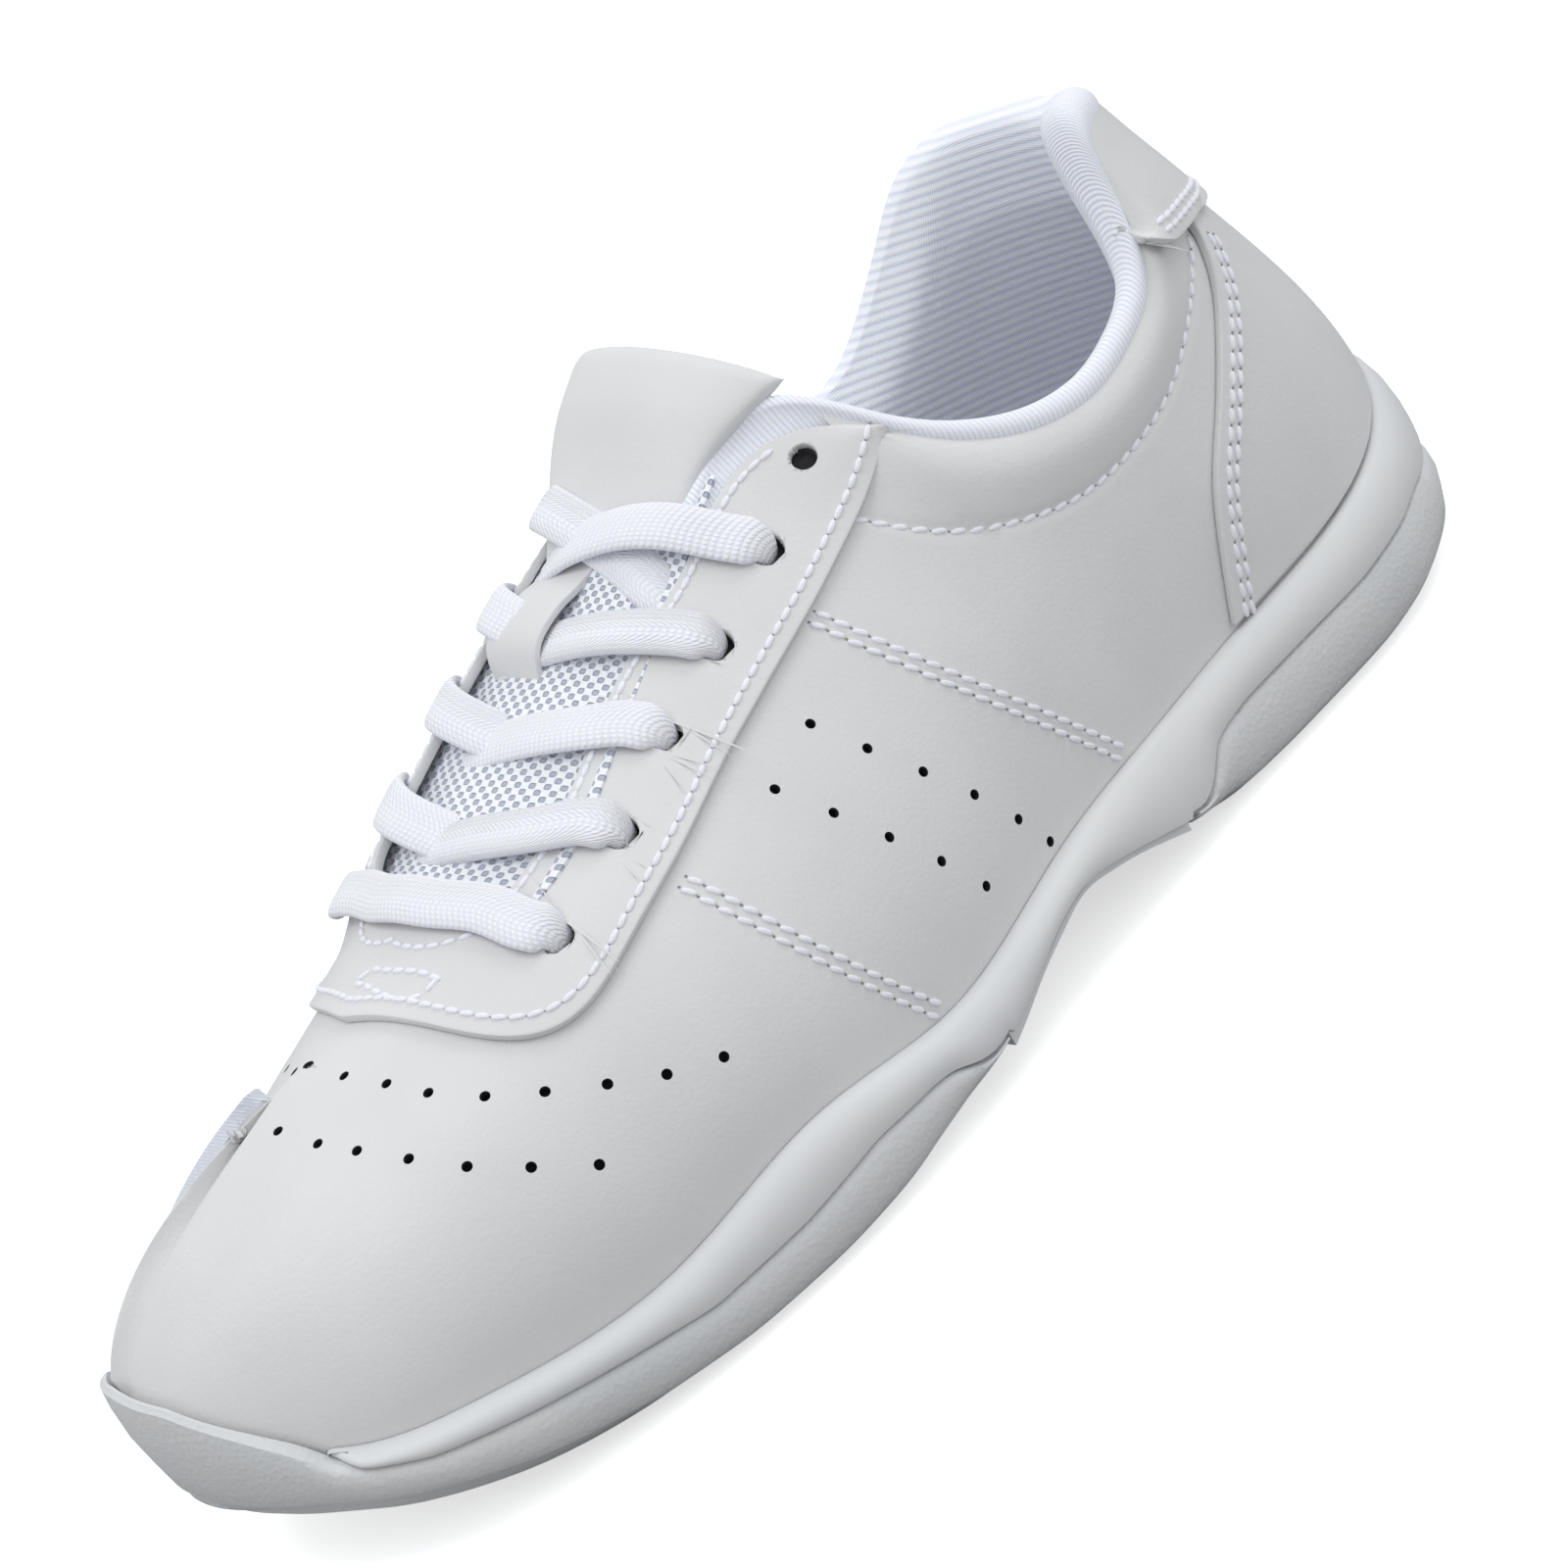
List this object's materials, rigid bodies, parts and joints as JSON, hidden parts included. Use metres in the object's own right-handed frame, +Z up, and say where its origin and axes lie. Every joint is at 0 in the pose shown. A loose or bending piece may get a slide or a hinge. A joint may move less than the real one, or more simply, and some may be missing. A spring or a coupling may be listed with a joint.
{
  "type": "cheer shoe",
  "caption": "Low-cut lace-up cheer shoe for the left foot, with a split rubber sole, a foam midsole, a perforated leather upper, a padded collar and a folding padded tongue.",
  "frame": {"origin": "centre of the shoe's plan, on the surface that it stands on", "axes": "-X towards the toe, +X towards the heel, -Y the outer (lateral) side of the left foot, +Y the inner (medial) side, +Z up"},
  "size_m": [0.2623, 0.0976, 0.1007],
  "materials": {
    "outsole_rubber": "matte fine grain",
    "midsole_foam": "smooth satin moulded foam",
    "board": "matte fibre board",
    "lining_cloth": "matte knit",
    "upper_leather": "semi-gloss fine grain white",
    "stiffener": "matte",
    "padding": "open foam",
    "collar_cloth": "ribbed knit",
    "tongue_mesh": "air mesh",
    "tongue_leather": "soft fine grain white",
    "lace_cotton": "flat woven",
    "aglet_plastic": "gloss"
  },
  "bodies": {
    "shoe": {"outsole_forefoot": "outsole_rubber", "outsole_heel": "outsole_rubber", "midsole": "midsole_foam", "insole_board": "board", "sockliner": "lining_cloth", "vamp": "upper_leather", "side_panel_lateral": "upper_leather", "side_panel_medial": "upper_leather", "quarter_lateral": "upper_leather", "quarter_medial": "upper_leather", "eyestay": "upper_leather", "heel_counter_panel": "upper_leather", "heel_tab": "upper_leather", "toe_puff": "stiffener", "heel_stiffener": "stiffener", "vamp_lining": "lining_cloth", "collar_foam": "padding", "collar_lining": "collar_cloth", "tongue_body": "tongue_mesh", "tongue_lining": "lining_cloth", "tongue_facing": "tongue_leather", "lace_keeper": "tongue_leather", "lace": "lace_cotton", "aglet_lateral": "aglet_plastic", "aglet_medial": "aglet_plastic"},
    "tongue_flap": {"tongue_top": "tongue_leather"}
  },
  "joints": [
    {"name": "tongue_fold", "type": "hinge", "parent": "shoe", "child": "tongue_flap", "pos_m": [0.015, 0, 0.087], "axis": [0, -1, 0], "range_deg": [0, 50], "stiffness_Nm_per_rad": 0.02}
  ]
}
